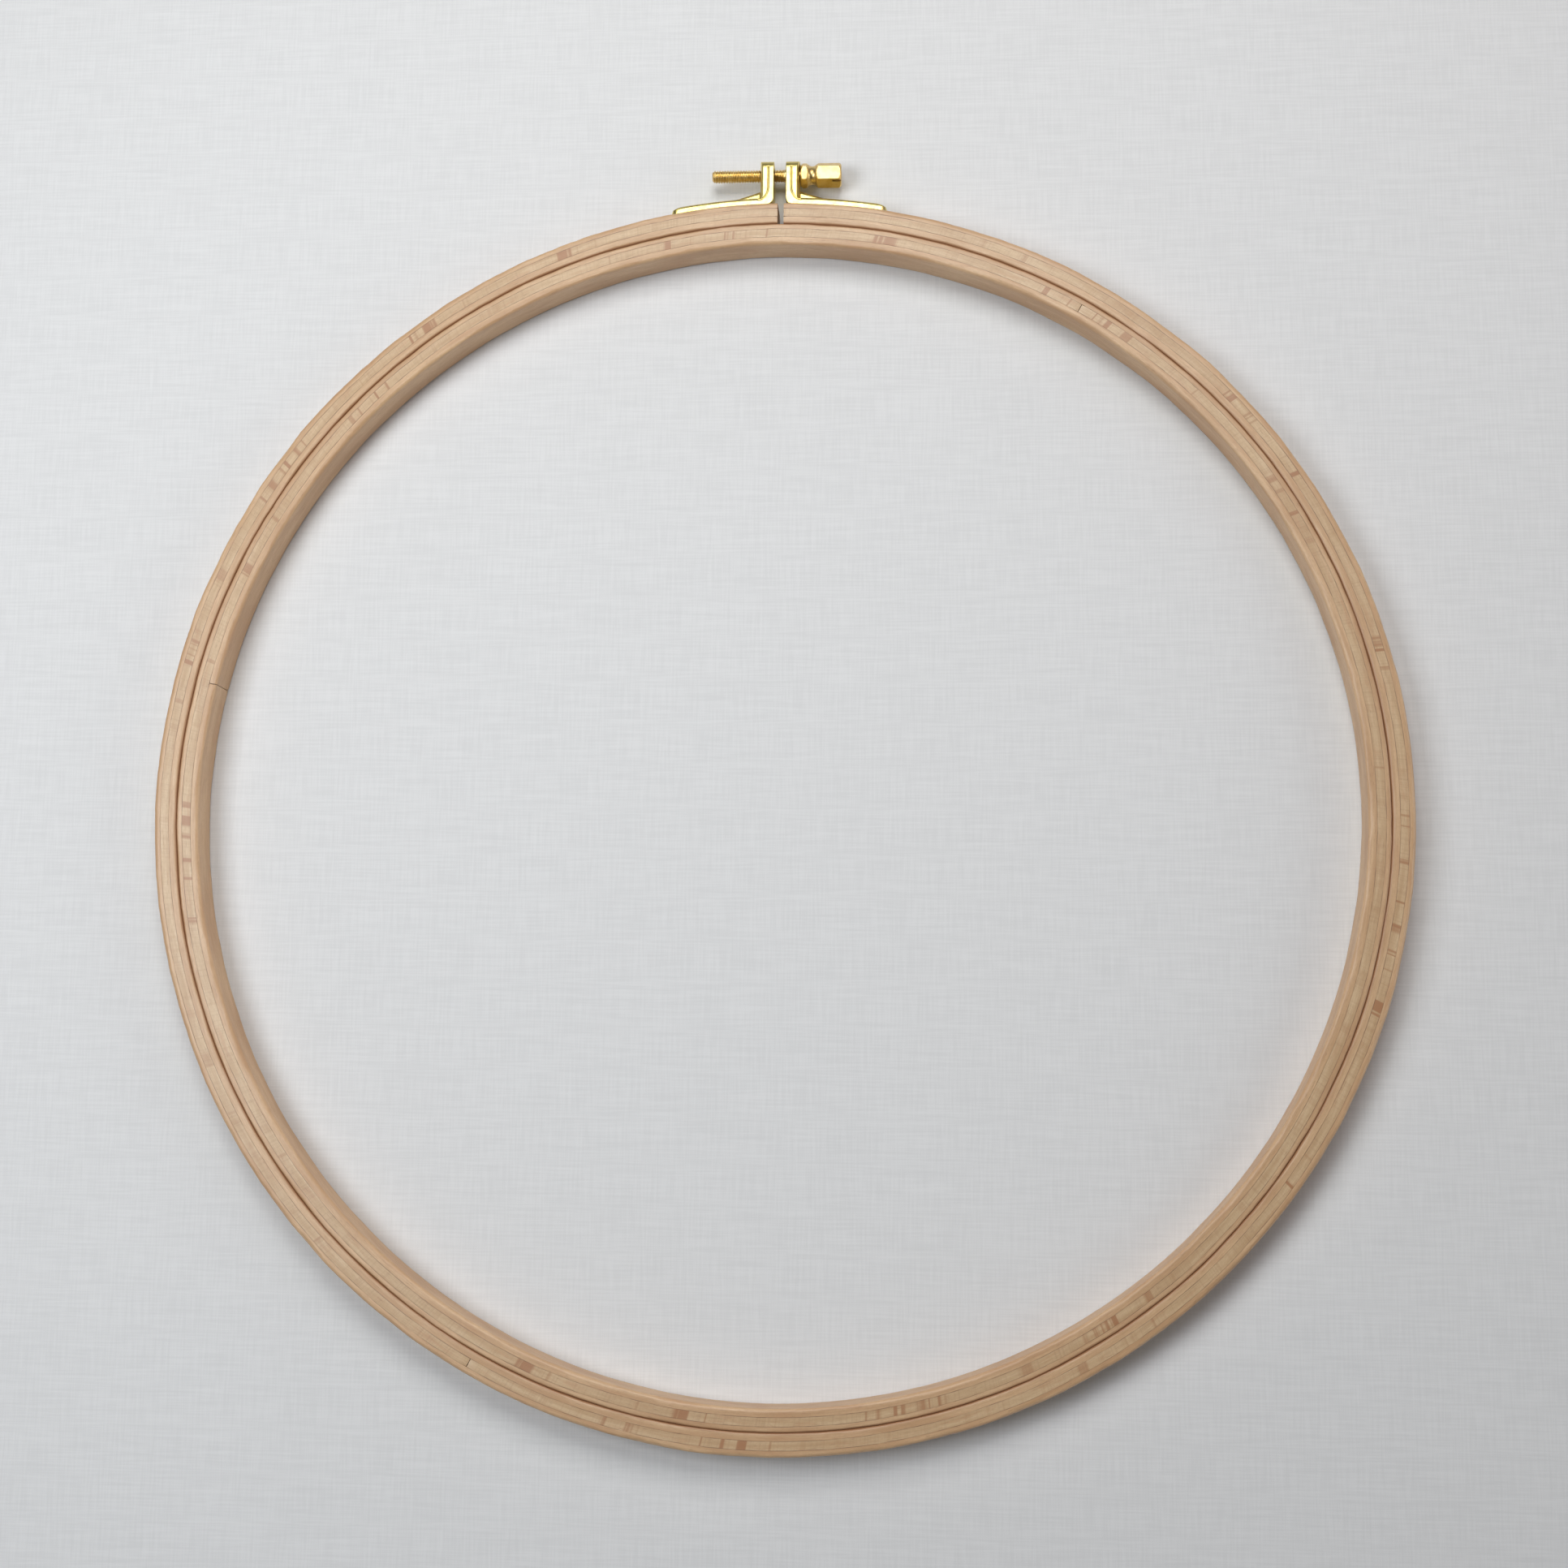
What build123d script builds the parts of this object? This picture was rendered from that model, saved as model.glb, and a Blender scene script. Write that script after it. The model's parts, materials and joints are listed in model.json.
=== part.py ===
from build123d import *

import os
from math import asin, cos, degrees, radians, sin

# A twelve-inch double hoop of bent three-ply beech with a brass screw clamp.
# Millimetres. The origin is the hoop's centre at mid-depth, +Z runs along the hoop's axis to its
# front, and +Y runs to the clamp. Polar angles count from +X towards +Y.

# ---------------------------------------------------------------- driving dimensions
INCH = 25.4
HOOP_SIZE = 12 * INCH  # outside diameter of the inner ring, the size a hoop is sold by
DEPTH = 0.375 * INCH  # both rings, along Z
RING_PLAY = 0.1  # radial clearance between the rings
CLAMP_GAP = 1.5  # between the ends of the outer ring
BUTT_GAP = 0.15  # open butt joint where a strip ends

# ply thicknesses, from the side facing the hoop's centre outwards
INNER_RING_PLIES = {"inner": 2.0, "middle": 2.2, "outer": 1.4}
OUTER_RING_PLIES = {"inner": 1.9, "middle": 2.2, "outer": 1.7}
INSIDE_ROUND = 1.2  # edges of the inner ring that face the centre
GROOVE_ROUND = 0.7  # edges of each ring that face the other ring
OUTSIDE_ROUND = 1.0  # edges of the outer ring that face outwards

# polar angles of the butt joints
CLAMP_ANGLE = 90.0
INNER_RING_MIDDLE_JOINT = 59.0
INNER_RING_INNER_JOINT = 168.0
OUTER_RING_MIDDLE_JOINT = 242.0

# brackets, folded from half-oval brass strip
RIGHT, LEFT = 1, -1
LEAF = 1.3  # thickness of one leaf of the strip, at its edge
STRIP_WIDTH = 7.0
SEAT_GAP = 0.05  # bedding between a foot and the wood
UPRIGHT_X = {RIGHT: 1.15, LEFT: 1.95}  # from the clamp gap's middle to each upright
UPRIGHT_HEIGHT = 12.5
UPRIGHT_CROWN = 0.8  # rise of the half-oval outward face
UPRIGHT_CORNER = 2.4  # radius of the corners at the upright's top
FOOT_TIP_X = {RIGHT: 27.9, LEFT: 29.0}  # the left foot is a little longer
FOOT_CROWN = 1.25
CROWN_MARGIN = 0.06  # flat left on the leaf at each edge of a crown, and at the tip
TIP_CORNER = 1.9  # radius of the corners at the foot's tip
TIP_ROUND = 1.9  # the tip also rounds down to the wood
BEND_RADIUS = 2.0  # outside of the bend
FLARE_RADIUS = 1.6  # the folded-back leaf flares out onto the foot
FOLD_SLIT = 0.3  # between the two leaves of an upright
FOLD_CAP = 2.0  # solid fold at the top of an upright
FOLD_ROUND = 0.5
DART_REACH = 9.7  # stiffening dart, along the foot
DART_HEIGHT = 5.0  # and up the upright
DART_WIDTH = 2.6
DART_END_WIDTH = 1.2

# clamp screw
THREAD_RADIUS = 3.25 / 2
THREAD_PITCH = 0.69
THREAD_DEPTH = 0.42
SCREW_HEIGHT = 9.2  # axis above the foot's seat
SCREW_TIP_X = -18.4
THREAD_END_X = 0.8
COLLAR_X = 4.95
NECK_X = 7.0
HEAD_X = 9.0
HEAD_END_X = 15.6
HEX_ACROSS_FLATS = 5.7
HEX_TURN = 7.0  # rest angle of a flat from the front, about +X
HEX_BEVEL = 0.5
NECK_RADIUS = 2.35
NECK_EDGE_RADIUS = 2.75
SLOT_TURN = 51.0  # rest angle of the screwdriver slot from the front, about +X
SLOT_WIDTH = 0.5
SLOT_LENGTH = 2.3
SCREW_PLAY = 0.08  # radial clearance of the screw in both brackets

# pins that hold the feet to the wood
PIN_RADIUS = 0.8
PIN_HEAD_RADIUS = 1.5
PIN_HEAD_HEIGHT = 0.8
PIN_HEAD_SINK = 0.2  # below the crown of the foot
PIN_PLAY = 0.03
PIN_END_SINK = 0.3  # short of the outer ring's inner face
PIN_ANGLES = (6.0, 8.6)  # degrees from the clamp, on each side

# ---------------------------------------------------------------- derived dimensions
INNER_RING_OUTSIDE = HOOP_SIZE / 2
INNER_RING_INSIDE = INNER_RING_OUTSIDE - sum(INNER_RING_PLIES.values())
OUTER_RING_INSIDE = INNER_RING_OUTSIDE + RING_PLAY
OUTER_RING_OUTSIDE = OUTER_RING_INSIDE + sum(OUTER_RING_PLIES.values())
SEAT_RADIUS = OUTER_RING_OUTSIDE + SEAT_GAP
FOOT_TOP_RADIUS = SEAT_RADIUS + LEAF
UPRIGHT_THICKNESS = 2 * LEAF + FOLD_SLIT
UPRIGHT_TOP_Y = SEAT_RADIUS + UPRIGHT_HEIGHT
SCREW_Y = SEAT_RADIUS + SCREW_HEIGHT
SCREW_HOLE_RADIUS = THREAD_RADIUS + SCREW_PLAY
EMBED = 0.4  # how far joined shapes reach into each other
PIN_HEAD_TOP = FOOT_TOP_RADIUS + FOOT_CROWN - PIN_HEAD_SINK
PIN_HEAD_SEAT = PIN_HEAD_TOP - PIN_HEAD_HEIGHT
PIN_END = OUTER_RING_INSIDE + PIN_END_SINK


def radial_plane(angle):
    """Plane through the hoop's axis at a polar angle: its x runs outwards and its y along +Z."""
    a = radians(angle)
    return Plane(origin=(0, 0, 0), x_dir=(cos(a), sin(a), 0), z_dir=(sin(a), -cos(a), 0))


def pin_plane(side, from_clamp, radius):
    """Plane across a pin, at a distance from the hoop's centre: its z runs outwards."""
    a = radians(from_clamp)
    out = Vector(side * sin(a), cos(a), 0)
    return Plane(origin=out * radius, x_dir=(0, 0, 1), z_dir=out)


def strip(inner_radius, thickness, start, end, inside_round=0, outside_round=0, pinned=False):
    """One bent beech strip between two polar angles, with its edges rounded as asked."""
    with BuildPart() as wood:
        with BuildSketch(radial_plane(start)) as section:
            with Locations((inner_radius + thickness / 2, 0)):
                Rectangle(thickness, DEPTH)
            corners = section.vertices().group_by(Axis((0, 0, 0), radial_plane(start).x_dir))
            if inside_round:
                fillet(corners[0], inside_round)
            if outside_round:
                fillet(corners[-1], outside_round)
        revolve(axis=Axis.Z, revolution_arc=end - start)
        if pinned:
            for side in (RIGHT, LEFT):
                for angle in PIN_ANGLES:
                    with Locations(pin_plane(side, angle, PIN_END)):
                        Cylinder(
                            PIN_RADIUS + PIN_PLAY,
                            OUTER_RING_OUTSIDE - PIN_END + EMBED,
                            align=(Align.CENTER, Align.CENTER, Align.MIN),
                            mode=Mode.SUBTRACT,
                        )
    return wood.part


def arc_for(width, radius):
    """Half the angle, in degrees, that a gap of this width takes up at a radius."""
    return degrees(asin(width / 2 / radius))


def write(part, name):
    """Labels a finished piece and writes it as its own node."""
    part.label = name
    export_step(part, f"parts/{name}.step")


def bracket(side):
    """One bracket: right of the clamp gap for RIGHT, and left of it for LEFT."""
    inner_x, tip_x = UPRIGHT_X[side], FOOT_TIP_X[side]
    outer_x = inner_x + UPRIGHT_THICKNESS
    crown_x = outer_x + UPRIGHT_CROWN
    ridge_x = outer_x + DART_REACH
    with BuildPart() as metal:
        # the strip's own outline: foot along the ring, bend, and double upright
        with BuildSketch(Plane.XY.offset(-STRIP_WIDTH / 2)) as outline:
            Circle(FOOT_TOP_RADIUS)
            Circle(SEAT_RADIUS, mode=Mode.SUBTRACT)
            with Locations((side * (inner_x + tip_x + EMBED) / 2, SEAT_RADIUS)):
                Rectangle(tip_x + EMBED - inner_x, UPRIGHT_HEIGHT, mode=Mode.INTERSECT)
            with Locations((side * (inner_x + outer_x) / 2, SEAT_RADIUS + UPRIGHT_HEIGHT / 2)):
                Rectangle(UPRIGHT_THICKNESS, UPRIGHT_HEIGHT)
            bend = outline.vertices().sort_by_distance((side * inner_x, SEAT_RADIUS))[0]
            fillet(bend, BEND_RADIUS)
            root = outline.vertices().sort_by_distance((side * outer_x, FOOT_TOP_RADIUS))[0]
            fillet(root, FLARE_RADIUS)
        extrude(amount=STRIP_WIDTH)

        # half-oval top of the foot
        tip_angle = degrees(asin((tip_x + EMBED) / SEAT_RADIUS))
        heel_angle = degrees(asin(outer_x / SEAT_RADIUS))
        low_angle = CLAMP_ANGLE - tip_angle if side == RIGHT else CLAMP_ANGLE + heel_angle
        with BuildSketch(radial_plane(low_angle)):
            with Locations((FOOT_TOP_RADIUS, 0)):
                Ellipse(FOOT_CROWN, STRIP_WIDTH / 2 - CROWN_MARGIN)
        revolve(axis=Axis.Z, revolution_arc=tip_angle - heel_angle)

        # half-oval outward face of the upright
        with BuildSketch(Plane(origin=(0, SEAT_RADIUS + EMBED, 0), x_dir=(1, 0, 0), z_dir=(0, 1, 0))):
            with Locations((side * outer_x, 0)):
                Ellipse(UPRIGHT_CROWN, STRIP_WIDTH / 2 - CROWN_MARGIN)
        extrude(amount=UPRIGHT_HEIGHT - EMBED)

        # stiffening dart in the corner: a round-backed ridge that tapers out onto the foot
        ridge_ends = (
            (outer_x, DART_WIDTH, SEAT_RADIUS + DART_HEIGHT),
            (ridge_x, DART_END_WIDTH, FOOT_TOP_RADIUS + FOOT_CROWN / 2),
        )
        for x, width, top in ridge_ends:
            with BuildSketch(Plane(origin=(side * x, 0, 0), x_dir=(0, 1, 0), z_dir=(1, 0, 0))):
                low, shoulder = SEAT_RADIUS + EMBED, top - width / 2
                with Locations(((low + shoulder) / 2, 0)):
                    Rectangle(shoulder - low, width)
                with Locations((shoulder, 0)):
                    Circle(width / 2)
        loft()

        # seen from the front: rounded fold, and a tip that rounds down to the wood
        with BuildSketch(Plane.XY) as front_outline:
            with Locations((side * (inner_x + crown_x) / 2, SEAT_RADIUS + UPRIGHT_HEIGHT / 2)):
                Rectangle(crown_x - inner_x, UPRIGHT_HEIGHT)
            fillet(front_outline.vertices().group_by(Axis.Y)[-1], FOLD_ROUND)
            with BuildSketch(mode=Mode.ADD) as foot_profile:
                Circle(FOOT_TOP_RADIUS + FOOT_CROWN)
                Circle(SEAT_RADIUS, mode=Mode.SUBTRACT)
                with Locations((side * (inner_x + tip_x) / 2, SEAT_RADIUS)):
                    Rectangle(tip_x - inner_x, UPRIGHT_HEIGHT, mode=Mode.INTERSECT)
                tip = foot_profile.vertices().sort_by_distance((side * 2 * tip_x, 2 * SEAT_RADIUS))[0]
                fillet(tip, TIP_ROUND)
            with Locations((side * (inner_x + ridge_x) / 2, SEAT_RADIUS)):
                Rectangle(ridge_x - inner_x, 2 * DART_HEIGHT)
        extrude(amount=STRIP_WIDTH, both=True, mode=Mode.INTERSECT)

        # rounded corners at the upright's top and at the foot's tip
        with BuildSketch(Plane(origin=(0, 0, 0), x_dir=(0, 1, 0), z_dir=(1, 0, 0))) as side_outline:
            with Locations((UPRIGHT_TOP_Y / 2, 0)):
                Rectangle(UPRIGHT_TOP_Y, STRIP_WIDTH)
            fillet(side_outline.vertices().group_by(Axis.Y)[-1], UPRIGHT_CORNER)
        extrude(amount=2 * tip_x, both=True, mode=Mode.INTERSECT)
        with BuildSketch(Plane(origin=(0, 0, 0), x_dir=(1, 0, 0), z_dir=(0, 1, 0))) as foot_outline:
            with Locations((side * (tip_x + CROWN_MARGIN) / 2, 0)):
                Rectangle(tip_x + CROWN_MARGIN, STRIP_WIDTH)
            tip_corners = foot_outline.vertices().group_by(Axis.X)[-1 if side == RIGHT else 0]
            fillet(tip_corners, TIP_CORNER)
        extrude(amount=2 * HOOP_SIZE, both=True, mode=Mode.INTERSECT)

        # slit between the two leaves, up to the fold
        slit_low = SEAT_RADIUS + DART_HEIGHT
        slit_high = UPRIGHT_TOP_Y - FOLD_CAP
        with Locations((side * (inner_x + outer_x) / 2, (slit_low + slit_high) / 2, 0)):
            Box(FOLD_SLIT, slit_high - slit_low, 2 * STRIP_WIDTH, mode=Mode.SUBTRACT)

        # screw hole, and counterbored pin holes
        with Locations((side * outer_x, SCREW_Y, 0)):
            Cylinder(SCREW_HOLE_RADIUS, 2 * outer_x, rotation=(0, 90, 0), mode=Mode.SUBTRACT)
        for angle in PIN_ANGLES:
            for radius, low in ((PIN_RADIUS, PIN_END), (PIN_HEAD_RADIUS, PIN_HEAD_SEAT)):
                with Locations(pin_plane(side, angle, low)):
                    Cylinder(
                        radius + PIN_PLAY,
                        2 * UPRIGHT_HEIGHT,
                        align=(Align.CENTER, Align.CENTER, Align.MIN),
                        mode=Mode.SUBTRACT,
                    )
    return metal.part


def foot_pins(side):
    """The two pins of one foot: flat heads sunk in the crown, shanks through the outer ring."""
    with BuildPart() as pins:
        for angle in PIN_ANGLES:
            stages = ((PIN_RADIUS, PIN_END, PIN_HEAD_TOP), (PIN_HEAD_RADIUS, PIN_HEAD_SEAT, PIN_HEAD_TOP))
            for radius, low, high in stages:
                with Locations(pin_plane(side, angle, low)):
                    Cylinder(radius, high - low, align=(Align.CENTER, Align.CENTER, Align.MIN))
    return pins.part


os.makedirs("parts", exist_ok=True)

# ---------------------------------------------------------------- inner ring
inner_middle_r = INNER_RING_INSIDE + INNER_RING_PLIES["inner"]
inner_outer_r = inner_middle_r + INNER_RING_PLIES["middle"]

half_butt = arc_for(BUTT_GAP, INNER_RING_INSIDE)
inner_ring_inner_ply = strip(
    INNER_RING_INSIDE,
    INNER_RING_PLIES["inner"],
    INNER_RING_INNER_JOINT + half_butt,
    INNER_RING_INNER_JOINT - half_butt + 360,
    inside_round=INSIDE_ROUND,
)
write(inner_ring_inner_ply, "inner_ring_inner_ply")

half_butt = arc_for(BUTT_GAP, inner_middle_r)
inner_ring_middle_ply = strip(
    inner_middle_r,
    INNER_RING_PLIES["middle"],
    INNER_RING_MIDDLE_JOINT + half_butt,
    INNER_RING_MIDDLE_JOINT - half_butt + 360,
)
write(inner_ring_middle_ply, "inner_ring_middle_ply")

inner_ring_outer_ply = strip(
    inner_outer_r, INNER_RING_PLIES["outer"], 0, 360, outside_round=GROOVE_ROUND
)
write(inner_ring_outer_ply, "inner_ring_outer_ply")

# ---------------------------------------------------------------- outer ring, open at the clamp
outer_middle_r = OUTER_RING_INSIDE + OUTER_RING_PLIES["inner"]
outer_outer_r = outer_middle_r + OUTER_RING_PLIES["middle"]
half_gap = arc_for(CLAMP_GAP, OUTER_RING_OUTSIDE)
ring_start = CLAMP_ANGLE + half_gap
ring_end = CLAMP_ANGLE - half_gap + 360

outer_ring_inner_ply = strip(
    OUTER_RING_INSIDE,
    OUTER_RING_PLIES["inner"],
    ring_start,
    ring_end,
    inside_round=GROOVE_ROUND,
    pinned=True,
)
write(outer_ring_inner_ply, "outer_ring_inner_ply")

half_butt = arc_for(BUTT_GAP, outer_middle_r)
outer_ring_middle_ply_short = strip(
    outer_middle_r,
    OUTER_RING_PLIES["middle"],
    ring_start,
    OUTER_RING_MIDDLE_JOINT - half_butt,
    pinned=True,
)
write(outer_ring_middle_ply_short, "outer_ring_middle_ply_short")
outer_ring_middle_ply_long = strip(
    outer_middle_r,
    OUTER_RING_PLIES["middle"],
    OUTER_RING_MIDDLE_JOINT + half_butt,
    ring_end,
    pinned=True,
)
write(outer_ring_middle_ply_long, "outer_ring_middle_ply_long")

outer_ring_outer_ply = strip(
    outer_outer_r,
    OUTER_RING_PLIES["outer"],
    ring_start,
    ring_end,
    outside_round=OUTSIDE_ROUND,
    pinned=True,
)
write(outer_ring_outer_ply, "outer_ring_outer_ply")

# ---------------------------------------------------------------- brackets and their pins
write(bracket(LEFT), "left_bracket")
write(bracket(RIGHT), "right_bracket")
write(foot_pins(LEFT), "left_bracket_pins")
write(foot_pins(RIGHT), "right_bracket_pins")

# ---------------------------------------------------------------- clamp screw
screw_axis = Axis((0, SCREW_Y, 0), (1, 0, 0))
hex_corner_radius = HEX_ACROSS_FLATS / 2 / cos(radians(30))
root_radius = THREAD_RADIUS - THREAD_DEPTH
turns = int((THREAD_END_X - SCREW_TIP_X) / THREAD_PITCH)
with BuildPart() as clamp_screw:
    # hexagonal bar for collar and head, turned down by the revolved outline
    with BuildSketch(Plane(origin=(COLLAR_X, SCREW_Y, 0), x_dir=(0, 1, 0), z_dir=(1, 0, 0))):
        RegularPolygon(hex_corner_radius, 6, rotation=HEX_TURN)
    extrude(amount=HEAD_END_X - COLLAR_X)
    with BuildSketch(Plane.XY):
        with BuildLine():
            neck_r, edge_r, corner_r = NECK_RADIUS, NECK_EDGE_RADIUS, hex_corner_radius
            bevel_r = HEX_ACROSS_FLATS / 2 - HEX_BEVEL / 2
            Polyline(
                (NECK_X, SCREW_Y + edge_r),
                (NECK_X - HEX_BEVEL / 2, SCREW_Y + corner_r),
                (COLLAR_X + HEX_BEVEL / 2, SCREW_Y + corner_r),
                (COLLAR_X, SCREW_Y + edge_r),
                (COLLAR_X, SCREW_Y),
                (HEAD_END_X, SCREW_Y),
                (HEAD_END_X, SCREW_Y + bevel_r),
                (HEAD_END_X - HEX_BEVEL, SCREW_Y + corner_r),
                (HEAD_X + HEX_BEVEL, SCREW_Y + corner_r),
                (HEAD_X, SCREW_Y + edge_r),
            )
            ThreePointArc(
                (HEAD_X, SCREW_Y + edge_r),
                ((NECK_X + HEAD_X) / 2, SCREW_Y + neck_r),
                (NECK_X, SCREW_Y + edge_r),
            )
        make_face()
    revolve(axis=screw_axis, mode=Mode.INTERSECT)

    # plain shank and thread; the thread is a row of ridges, one for each turn
    with BuildSketch(Plane.XY):
        with BuildLine():
            crests = [(THREAD_END_X, SCREW_Y + root_radius)]
            for turn in range(turns):
                crest_x = THREAD_END_X - (turn + 0.5) * THREAD_PITCH
                crests.append((crest_x, SCREW_Y + THREAD_RADIUS))
                crests.append((crest_x - THREAD_PITCH / 2, SCREW_Y + root_radius))
            Polyline(
                (SCREW_TIP_X, SCREW_Y),
                (COLLAR_X + EMBED, SCREW_Y),
                (COLLAR_X + EMBED, SCREW_Y + THREAD_RADIUS),
                (THREAD_END_X + THREAD_PITCH / 2, SCREW_Y + THREAD_RADIUS),
                *crests,
                (SCREW_TIP_X, SCREW_Y + root_radius),
                close=True,
            )
        make_face()
    revolve(axis=screw_axis)

    # screwdriver slot across the head's end
    with Locations((HEAD_END_X, SCREW_Y, 0)):
        Box(
            2 * SLOT_LENGTH,
            SLOT_WIDTH,
            4 * hex_corner_radius,
            rotation=(SLOT_TURN, 0, 0),
            mode=Mode.SUBTRACT,
        )
write(clamp_screw.part, "clamp_screw")
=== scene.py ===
"""Looks for a double hoop of bent beech plies with a brass screw clamp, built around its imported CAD.

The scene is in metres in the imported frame; sizes given in millimetres are multiplied by MM.
Polar angles count from +X towards +Y, and the clamp is at 90 degrees.
"""

import json
import math

import bmesh
import bpy
import numpy as np
from mathutils import Euler, Matrix, Vector


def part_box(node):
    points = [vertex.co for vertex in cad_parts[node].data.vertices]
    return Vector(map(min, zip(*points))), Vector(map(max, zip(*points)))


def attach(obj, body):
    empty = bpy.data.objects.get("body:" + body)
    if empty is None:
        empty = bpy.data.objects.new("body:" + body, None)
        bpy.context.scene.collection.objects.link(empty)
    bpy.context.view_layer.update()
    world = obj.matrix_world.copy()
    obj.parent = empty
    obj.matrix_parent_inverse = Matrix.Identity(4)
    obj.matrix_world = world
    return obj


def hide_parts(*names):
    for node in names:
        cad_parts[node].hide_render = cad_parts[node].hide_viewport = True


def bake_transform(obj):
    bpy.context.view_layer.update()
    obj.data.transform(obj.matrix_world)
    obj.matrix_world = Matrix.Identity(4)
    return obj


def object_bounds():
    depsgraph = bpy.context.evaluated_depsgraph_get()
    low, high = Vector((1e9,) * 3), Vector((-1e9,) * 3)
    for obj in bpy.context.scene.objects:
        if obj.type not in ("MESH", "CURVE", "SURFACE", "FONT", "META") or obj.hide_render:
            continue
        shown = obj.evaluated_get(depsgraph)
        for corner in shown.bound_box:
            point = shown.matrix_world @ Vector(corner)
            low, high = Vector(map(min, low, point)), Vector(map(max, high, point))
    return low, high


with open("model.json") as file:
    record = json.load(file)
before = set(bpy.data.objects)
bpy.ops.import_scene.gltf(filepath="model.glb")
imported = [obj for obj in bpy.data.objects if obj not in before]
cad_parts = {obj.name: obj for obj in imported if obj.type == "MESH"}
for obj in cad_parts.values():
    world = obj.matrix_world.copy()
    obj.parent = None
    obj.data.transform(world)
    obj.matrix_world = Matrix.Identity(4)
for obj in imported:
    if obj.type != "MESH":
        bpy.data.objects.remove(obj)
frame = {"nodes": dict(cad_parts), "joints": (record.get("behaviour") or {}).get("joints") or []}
cad_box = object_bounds()

MM = 0.001
rng = np.random.default_rng(12)

# ---------------------------------------------------------------- sizes, in millimetres
HOOP_RADIUS = 152.4  # outside of the inner ring
RING_PLAY = 0.1
GROOVE_CLOSING = 0.04  # each ring's wood reaches this far into the play, as they bed together
INNER_RING_PLIES = {"inner": 2.0, "middle": 2.2, "outer": 1.4}
OUTER_RING_PLIES = {"inner": 1.9, "middle": 2.2, "outer": 1.7}
INSIDE_ROUND = 0.9
GROOVE_ROUND = 0.6
OUTSIDE_ROUND = 1.0
GLUE_EASE = 0.03  # softened edge along a glue line
HALF_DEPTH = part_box("inner_ring_inner_ply")[1].z / MM
CLAMP_GAP = 1.5
BUTT_GAP = 0.05

# polar angles, in degrees
CLAMP = 90.0
BOTTOM = 270.0
INNER_RING_MIDDLE_JOINT = 59.0
INNER_RING_INNER_JOINT = 168.0
OUTER_RING_MIDDLE_JOINT = 242.0

# how finely the strips are meshed
ALONG_STEP = 1.1  # millimetres
ACROSS_STEP = 0.6
ROUND_STEPS = 6  # stretches in a rounded edge
EASE_STEPS = 1


# ---------------------------------------------------------------- meshes
WAVE_COUNT = 14
WAVE_SIZES = (0.7, 1.8)  # shortest and longest wave, against the size asked for


def waves(points, size, height, draws):
    """Smooth unevenness of about this size and height at an array of 3-D points."""
    directions = draws.normal(size=(WAVE_COUNT, 3))
    directions /= np.linalg.norm(directions, axis=1)[:, None]
    lengths = size * draws.uniform(*WAVE_SIZES, WAVE_COUNT)
    phases = draws.uniform(0, 2 * math.pi, WAVE_COUNT)
    turns = points @ (directions / lengths[:, None]).T * 2 * math.pi + phases
    return height * math.sqrt(2 / WAVE_COUNT) * np.sin(turns).sum(axis=-1)


def object_from_grid(name, points, material, sharp=40.0):
    """A tube-like mesh object from a (stations, around, 3) grid in metres, capped at both ends."""
    stations, around = points.shape[:2]
    rows = np.arange(stations - 1)[:, None] * around
    here = np.arange(around)[None, :]
    there = (here + 1) % around
    quads = np.stack([rows + here, rows + there, rows + around + there, rows + around + here], axis=-1)
    faces = quads.reshape(-1, 4).tolist()
    faces.append(list(range(around))[::-1])
    faces.append(list(range((stations - 1) * around, stations * around)))
    mesh = bpy.data.meshes.new(name)
    mesh.from_pydata(points.reshape(-1, 3).tolist(), [], faces)
    mesh.polygons.foreach_set("use_smooth", np.ones(len(faces), bool))
    mesh.set_sharp_from_angle(angle=math.radians(sharp))
    mesh.materials.append(material)
    mesh.update()
    made = bpy.data.objects.new(name, mesh)
    bpy.context.scene.collection.objects.link(made)
    return made


def store(made, name, values):
    """Keeps one value or vector per point on a mesh, for its material to read."""
    values = np.asarray(values, np.float32)
    kind = "FLOAT_VECTOR" if values.ndim == 2 else "FLOAT"
    attribute = made.data.attributes.new(name, kind, "POINT")
    attribute.data.foreach_set("vector" if values.ndim == 2 else "value", values.ravel())


def outline(inner, outer, inner_steps, outer_steps):
    """A strip's section as (radius, height) points: sharp corners, and what each point moves by for
    every millimetre of the inner and of the outer edges' rounding."""
    corners = (
        (inner, HALF_DEPTH, 1, -1, 90, inner_steps, 0),
        (inner, -HALF_DEPTH, 1, 1, 180, inner_steps, 0),
        (outer, -HALF_DEPTH, -1, 1, 270, outer_steps, 1),
        (outer, HALF_DEPTH, -1, -1, 0, outer_steps, 1),
    )
    sharp, moves = [], []
    for radius, height, inward, level, first, steps, which in corners:
        for step in range(steps + 1):
            angle = math.radians(first + 90 * step / steps)
            move = np.zeros((2, 2))
            move[which] = (inward + math.cos(angle), level + math.sin(angle))
            sharp.append((radius, height))
            moves.append(move)
    sharp, moves = np.array(sharp), np.array(moves)
    points, shifts = [], []
    for here in range(len(sharp)):
        there = (here + 1) % len(sharp)
        parts = max(1, round(np.linalg.norm(sharp[there] - sharp[here]) / ACROSS_STEP))
        for share in np.arange(parts) / parts:
            points.append(sharp[here] + (sharp[there] - sharp[here]) * share)
            shifts.append(moves[here] + (moves[there] - moves[here]) * share)
    return np.array(points), np.array(shifts)


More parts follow.
